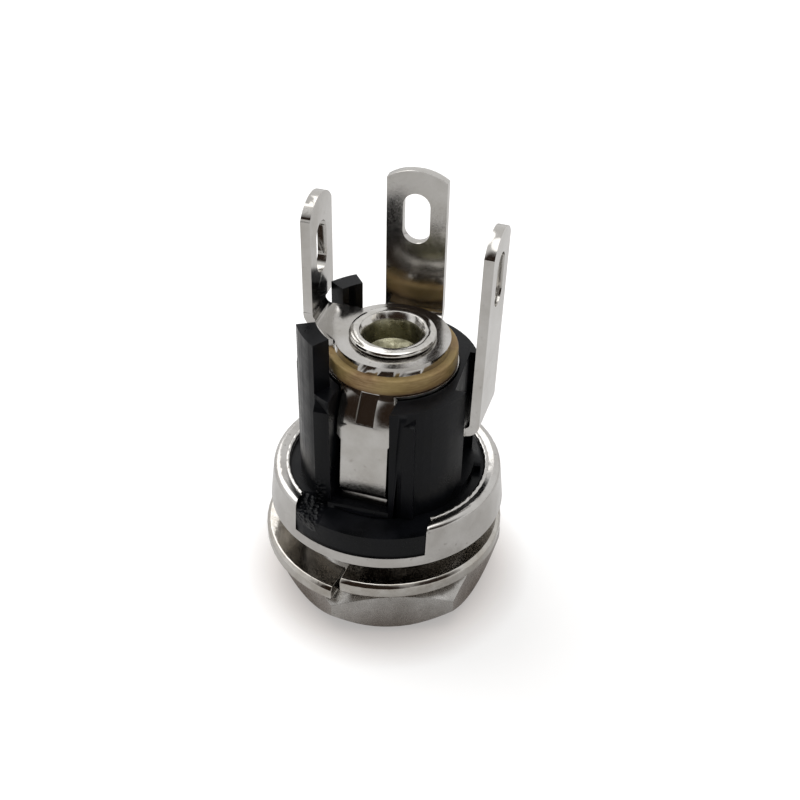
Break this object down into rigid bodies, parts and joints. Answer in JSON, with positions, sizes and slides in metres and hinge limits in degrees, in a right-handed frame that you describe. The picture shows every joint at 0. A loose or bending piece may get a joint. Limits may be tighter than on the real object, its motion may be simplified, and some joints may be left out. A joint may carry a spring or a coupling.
{
  "type": "panel-mount dc power jack",
  "caption": "Panel-mount dc power jack with threaded metal nose, hex nut, split lock washer, moulded body and upright solder tabs.",
  "frame": {"origin": "centre of the nose's end face, which is also the base the jack stands on", "axes": "+Z from the socket mouth to the solder tabs, -Y towards the sleeve strap, +X towards the switch tab"},
  "size_m": [0.0115, 0.0116, 0.02],
  "materials": {
    "nickel_plated_brass": "bright nickel plate over turned brass",
    "nickel_plated_nut": "satin nickel plate",
    "plated_spring_steel": "nickel-plated spring steel",
    "black_nylon": "moulded, slightly glossy",
    "plated_strip": "bright nickel-plated stamped strip",
    "tan_phenolic": "punched phenolic sheet, satin",
    "plated_pin": "bright nickel-plated turned brass"
  },
  "bodies": {
    "root": {"threaded_shell": "nickel_plated_brass", "hex_nut": "nickel_plated_nut", "lock_washer": "plated_spring_steel", "body": "black_nylon", "sleeve_contact": "plated_strip", "insulating_washer": "tan_phenolic", "pin_lug": "plated_strip", "centre_pin": "plated_pin", "switch_terminal": "plated_strip"}
  },
  "joints": []
}
